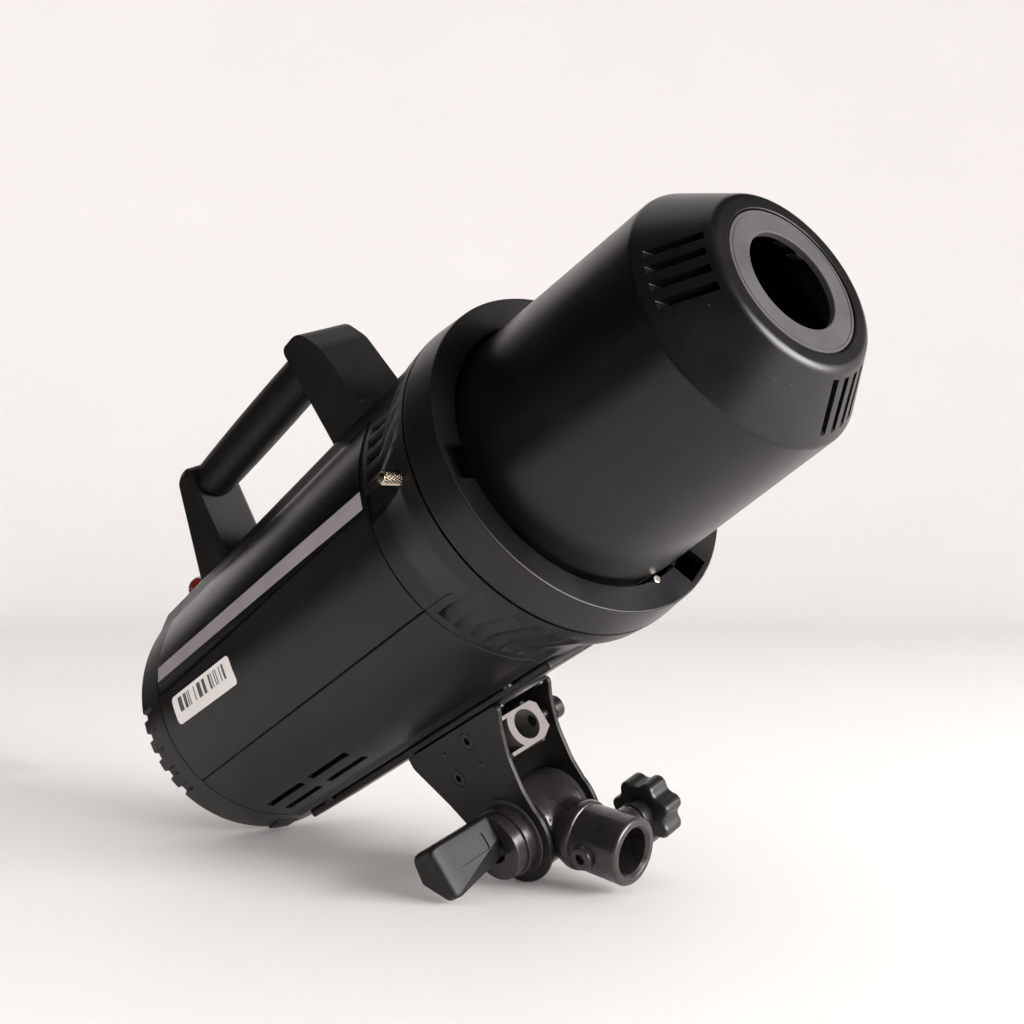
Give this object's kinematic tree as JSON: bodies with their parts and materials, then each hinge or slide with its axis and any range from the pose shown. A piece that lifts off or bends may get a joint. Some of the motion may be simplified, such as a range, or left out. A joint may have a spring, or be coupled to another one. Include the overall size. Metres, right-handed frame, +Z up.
{
  "type": "monolight strobe",
  "caption": "Studio flash head with a round housing, carrying handle, bayonet ring with a vented cap, tilting stand bracket and clamp lever, lying nose up on its bracket.",
  "frame": {"origin": "on the floor under the middle of the resting lamp's box", "axes": "+Z up from the floor; +X is the beam's heading, which rises 25.5 degrees from it; the lamp is rolled 19.3 degrees about its beam, its clamp lever on the -Y side touching the floor"},
  "size_m": [0.354, 0.1408, 0.2309],
  "materials": {
    "satin_black": "satin moulded plastic",
    "cap_black": "smooth satin cap",
    "insert_grey": "fine matt grey",
    "ring_black": "black enamel with a textured front lip",
    "handle_black": "fine-textured handle moulding",
    "grip_rubber": "smooth rubber sleeve",
    "gloss_label": "gloss black trim",
    "stripe_grey": "pale lilac grey print",
    "sticker_white": "white paper label",
    "bracket_black": "semi-matt powder coat",
    "cast_black": "gloss black enamel on a casting",
    "extruded_aluminium": "bright extrusion",
    "steel": "turned steel",
    "black_screws": "blackened screws",
    "slide_steel": "zinc plated",
    "knob_black": "hard moulded plastic",
    "washer_black": "fibre washer",
    "button_grey": "silicone rubber",
    "switch_black": "gloss moulding",
    "sensor_red": "tinted dome",
    "display": "tinted display window",
    "reflector": "bright spun",
    "ceramic_white": "bare ceramic",
    "lamp_glass": "frosted",
    "capacitor_blue": "sleeved cans",
    "board_green": "circuit board",
    "inner_grey": "moulded"
  },
  "bodies": {
    "housing": {"upper_shell": "satin_black", "lower_shell": "satin_black", "front_shroud": "satin_black", "mount_ring": "ring_black", "rear_bezel": "satin_black", "rear_feet": "grip_rubber", "bottom_rail": "bracket_black", "housing_screws": "black_screws", "handle_front_post": "handle_black", "handle_rear_post": "handle_black", "handle_grip": "grip_rubber", "label_panels": "gloss_label", "label_stripes": "stripe_grey", "paper_sticker": "sticker_white", "reflector_pan": "reflector", "lamp_socket": "ceramic_white", "modelling_lamp": "lamp_glass", "flash_tube_base": "ceramic_white", "flash_tube": "lamp_glass", "bulkhead": "inner_grey", "fan_frame": "inner_grey", "capacitors": "capacitor_blue", "capacitor_clamp": "inner_grey", "power_board": "board_green", "transformer": "inner_grey", "rear_panel": "gloss_label", "display_window": "display", "power_inlet": "switch_black", "inlet_pins": "steel", "fuse_holder": "switch_black", "signal_sockets": "switch_black", "slave_sensor": "sensor_red", "release_spring": "steel", "near_plate": "bracket_black", "far_plate": "bracket_black", "bracket_saddle": "bracket_black", "umbrella_block": "extruded_aluminium", "bracket_screws": "black_screws", "pivot_bolt": "steel", "friction_washers": "washer_black"},
    "release": {"release_slide": "slide_steel", "release_knob": "steel"},
    "cap_ring": {"cap_bayonet": "ring_black"},
    "cap": {"cap_shell": "cap_black", "cap_insert": "insert_grey"},
    "fan": {"fan_rotor": "inner_grey"},
    "power_switch": {"power_rocker": "switch_black"},
    "dial": {"dial": "knob_black"},
    "menu_button": {"menu_button": "button_grey"},
    "mode_button": {"mode_button": "button_grey"},
    "lamp_button": {"lamp_button": "button_grey"},
    "test_button": {"test_button": "button_grey"},
    "umbrella_screw": {"umbrella_screw": "black_screws"},
    "adapter": {"stand_adapter": "cast_black"},
    "stand_knob": {"stand_knob": "knob_black", "stand_knob_screw": "steel"},
    "clamp_lever": {"lever_hub": "cast_black", "lever_paddle": "knob_black"}
  },
  "joints": [
    {"name": "bracket_tilt", "type": "hinge", "parent": "housing", "child": "adapter", "pos_m": [0.01362, 0.02883, 0.02219], "axis": [-0.142, 0.9439, 0.2981], "range_deg": [-22, 115]},
    {"name": "clamp_lever_turn", "type": "hinge", "parent": "housing", "child": "clamp_lever", "pos_m": [0.01646, 0.00995, 0.01622], "axis": [-0.142, 0.9439, 0.2981], "range_deg": [-60, 60]},
    {"name": "stand_knob_turn", "type": "hinge", "parent": "adapter", "child": "stand_knob", "pos_m": [0.03994, 0.06123, 0.02607], "axis": [-0.142, 0.9439, 0.2981], "continuous": true},
    {"name": "umbrella_screw_turn", "type": "hinge", "parent": "housing", "child": "umbrella_screw", "pos_m": [0.01465, 0.0331, 0.06282], "axis": [-0.142, 0.9439, 0.2981], "continuous": true},
    {"name": "release_pull", "type": "slide", "parent": "housing", "child": "release", "axis": [-0.9028, 0, -0.43], "range_m": [0, 0.005], "stiffness_N_per_m": 600, "springref_m": -0.002, "deforming": ["release_spring"]},
    {"name": "cap_twist", "type": "hinge", "parent": "housing", "child": "cap_ring", "pos_m": [0.07238, -0.00452, 0.15577], "axis": [-0.9028, 0, -0.43], "range_deg": [0, 20]},
    {"name": "cap_pull", "type": "slide", "parent": "cap_ring", "child": "cap", "axis": [0.9028, 0, 0.43], "range_m": [0, 0.12]},
    {"name": "fan_spin", "type": "hinge", "parent": "housing", "child": "fan", "pos_m": [0.01912, -0.00452, 0.1304], "axis": [0.9028, 0, 0.43], "continuous": true},
    {"name": "dial_turn", "type": "hinge", "parent": "housing", "child": "dial", "pos_m": [-0.15264, 0.01502, 0.05381], "axis": [-0.9028, 0, -0.43], "continuous": true},
    {"name": "power_rocker_tip", "type": "hinge", "parent": "housing", "child": "power_switch", "pos_m": [-0.14002, 0.02186, 0.03314], "axis": [0.142, -0.9439, -0.2981], "range_deg": [0, 10]},
    {"name": "menu_button_press", "type": "slide", "parent": "housing", "child": "menu_button", "axis": [0.9028, 0, 0.43], "range_m": [0, 0.0008], "stiffness_N_per_m": 900, "springref_m": -0.0006},
    {"name": "mode_button_press", "type": "slide", "parent": "housing", "child": "mode_button", "axis": [0.9028, 0, 0.43], "range_m": [0, 0.0008], "stiffness_N_per_m": 900, "springref_m": -0.0006},
    {"name": "lamp_button_press", "type": "slide", "parent": "housing", "child": "lamp_button", "axis": [0.9028, 0, 0.43], "range_m": [0, 0.0008], "stiffness_N_per_m": 900, "springref_m": -0.0006},
    {"name": "test_button_press", "type": "slide", "parent": "housing", "child": "test_button", "axis": [0.9028, 0, 0.43], "range_m": [0, 0.0008], "stiffness_N_per_m": 900, "springref_m": -0.0006}
  ]
}
